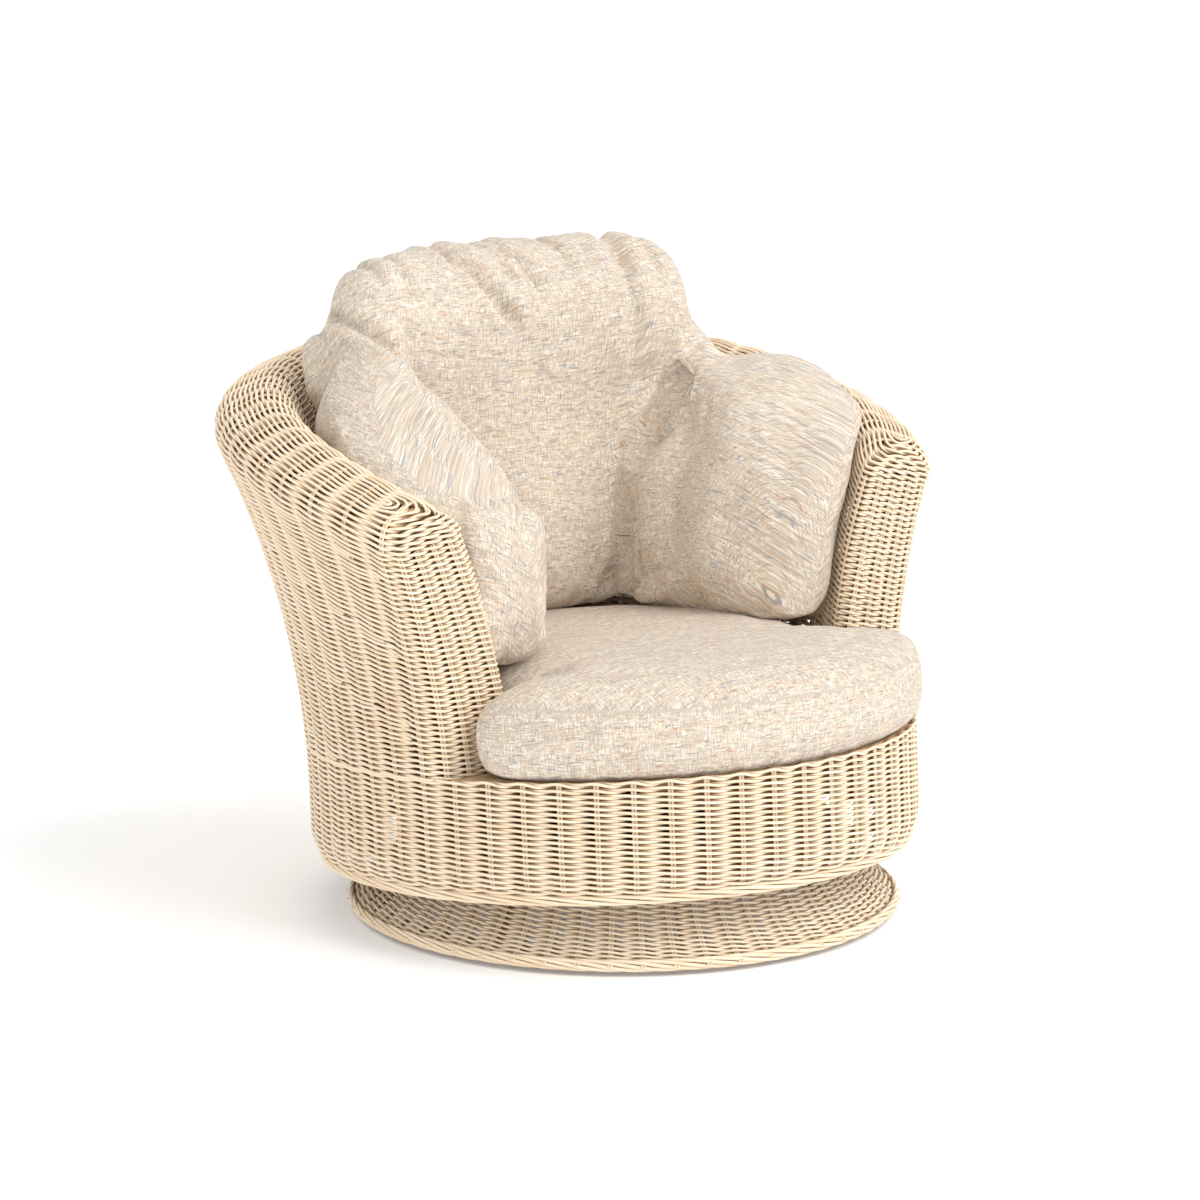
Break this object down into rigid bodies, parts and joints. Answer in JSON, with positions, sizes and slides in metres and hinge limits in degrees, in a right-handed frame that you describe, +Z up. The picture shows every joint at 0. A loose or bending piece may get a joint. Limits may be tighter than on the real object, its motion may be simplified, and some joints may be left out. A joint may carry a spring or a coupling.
{
  "type": "swivel rocking tub chair",
  "caption": "Woven cane tub armchair with loose seat and winged back cushions, which swivels and rocks on a round woven base.",
  "frame": {"origin": "on the floor, on the swivel axis, at the centre of the round base", "axes": "+Z up along the swivel axis, the chair faces -Y, +X to the sitter's left; mm in the source, metres in the row"},
  "size_m": [0.9634, 0.9115, 0.8257],
  "materials": {
    "woven_cane": "natural peeled cane, twined close, satin",
    "cane_pole": "natural cane pole, satin",
    "plywood": "plain birch plywood, unfinished",
    "softwood": "planed softwood, unfinished",
    "cushion_tweed": "slubby beige tweed with rust and grey flecks",
    "black_steel": "black powder coat",
    "zinc_steel": "zinc plated",
    "black_rubber": "moulded rubber",
    "brown_plastic": "moulded brown plastic"
  },
  "bodies": {
    "base": {"base_bottom_hoop": "cane_pole", "base_top_hoop": "cane_pole", "base_posts": "cane_pole", "base_board": "plywood", "base_border_braid": "woven_cane", "base_skirt_weave": "woven_cane", "base_glides": "brown_plastic", "swivel_base_plate": "black_steel", "swivel_screws": "zinc_steel", "lower_race": "zinc_steel", "king_bolt": "zinc_steel", "king_nut": "zinc_steel"},
    "swivel": {"upper_race": "zinc_steel", "bearing_balls": "zinc_steel", "rocker_yoke": "black_steel", "rocker_pins": "zinc_steel", "rock_buffers": "black_rubber"},
    "seat": {"rocker_bushes": "black_rubber", "rocker_frame": "black_steel", "rocker_screws": "zinc_steel", "body_hoop": "cane_pole", "seat_hoop": "cane_pole", "wall_bows": "cane_pole", "outer_top_rail": "cane_pole", "inner_top_rail": "cane_pole", "apron_posts": "cane_pole", "apron_rail": "cane_pole", "seat_rails": "softwood", "seat_slats": "softwood", "seat_deck": "plywood", "outer_wall_weave": "woven_cane", "inner_wall_weave": "woven_cane", "top_roll_weave": "woven_cane", "arm_front_weave_left": "woven_cane", "arm_front_weave_right": "woven_cane", "apron_weave": "woven_cane", "rim_braid": "woven_cane", "seat_cushion": "cushion_tweed", "back_cushion": "cushion_tweed", "back_wing_left": "cushion_tweed", "back_wing_right": "cushion_tweed"}
  },
  "joints": [
    {"name": "swivel", "type": "hinge", "parent": "base", "child": "swivel", "pos_m": [0, 0, 0.109], "axis": [0, 0, 1], "continuous": true},
    {"name": "rock", "type": "hinge", "parent": "swivel", "child": "seat", "pos_m": [0, 0, 0.15], "axis": [1, 0, 0], "range_deg": [-6, 6], "stiffness_Nm_per_rad": 600, "springref_deg": 4.26}
  ]
}
